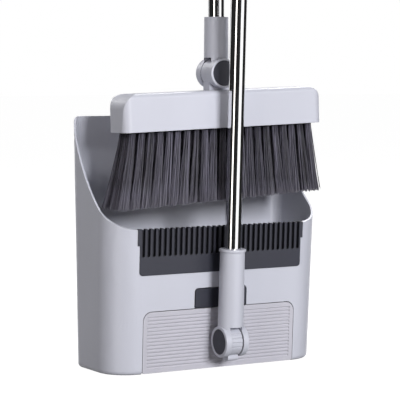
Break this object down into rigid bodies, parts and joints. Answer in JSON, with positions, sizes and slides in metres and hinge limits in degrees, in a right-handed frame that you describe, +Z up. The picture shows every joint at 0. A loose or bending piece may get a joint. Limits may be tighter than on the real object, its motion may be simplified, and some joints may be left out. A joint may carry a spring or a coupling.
{
  "type": "dust pan and brush set",
  "caption": "Upright dust pan with comb lip, long-handled scrub panel latched in its foot, and a swivel-head broom stored in the pan.",
  "frame": {"origin": "middle of the dust pan's base, on the floor", "axes": "+Z up along the poles, -Y the front with the comb, latch and scrub panel, +X to the right seen from behind"},
  "size_m": [0.2952, 0.1738, 1.012],
  "materials": {
    "pan_plastic": "moulded, soft gloss",
    "panel_plastic": "moulded, satin, fine horizontal ribs",
    "dark_plastic": "moulded, satin",
    "pole_chrome": "bright chrome",
    "pin_steel": "turned",
    "spring_steel": "drawn wire",
    "washer_nylon": "natural nylon",
    "broom_fibre": "soft crimped fibre with paler tips",
    "scrub_fibre": "short stiff fibre"
  },
  "bodies": {
    "pan": {"pan_body": "pan_plastic", "pan_comb": "dark_plastic", "latch_housing": "pan_plastic", "latch_springs": "spring_steel"},
    "latch": {"latch_button": "dark_plastic", "latch_catch": "dark_plastic"},
    "panel": {"panel_cover": "panel_plastic", "panel_back": "panel_plastic", "panel_bristles": "scrub_fibre", "panel_screws": "pin_steel", "pivot_lug": "pan_plastic", "lug_screws": "pin_steel"},
    "handle": {"handle_socket": "pan_plastic", "handle_collar": "pan_plastic", "handle_pivot_pin": "pin_steel", "handle_pivot_caps": "dark_plastic", "handle_washers": "washer_nylon", "handle_tube_lower": "pole_chrome", "handle_tube_upper": "pole_chrome", "handle_sleeve": "pan_plastic", "broom_clip": "pan_plastic", "handle_grip": "pan_plastic"},
    "broom": {"broom_head": "pan_plastic", "broom_bristle_block": "dark_plastic", "broom_bristles": "broom_fibre"},
    "broom_pole": {"broom_socket": "pan_plastic", "broom_pivot_pin": "pin_steel", "broom_pivot_cap": "dark_plastic", "broom_pivot_disc": "pan_plastic", "broom_washers": "washer_nylon", "broom_tube_lower": "pole_chrome", "broom_tube_upper": "pole_chrome", "broom_sleeve": "pan_plastic", "broom_grip": "pan_plastic"}
  },
  "joints": [
    {"name": "latch_press", "type": "slide", "parent": "pan", "child": "latch", "axis": [0, 1, 0], "range_m": [0, 0.003], "stiffness_N_per_m": 400, "springref_m": -0.003, "deforming": ["latch_springs", "latch_catch"]},
    {"name": "panel_slide", "type": "slide", "parent": "pan", "child": "panel", "axis": [0, -1, 0], "range_m": [0, 0.15]},
    {"name": "handle_tilt", "type": "hinge", "parent": "panel", "child": "handle", "pos_m": [0, -0.0705, 0.0355], "axis": [1, 0, 0], "range_deg": [0, 87.3], "deforming": ["broom_clip"]},
    {"name": "broom_lift", "type": "slide", "parent": "pan", "child": "broom", "axis": [0, 0, 1], "range_m": [0, 0.12]},
    {"name": "broom_swivel", "type": "hinge", "parent": "broom", "child": "broom_pole", "pos_m": [0, -0.038, 0.351], "axis": [0, 1, 0], "range_deg": [-92, 88]}
  ]
}
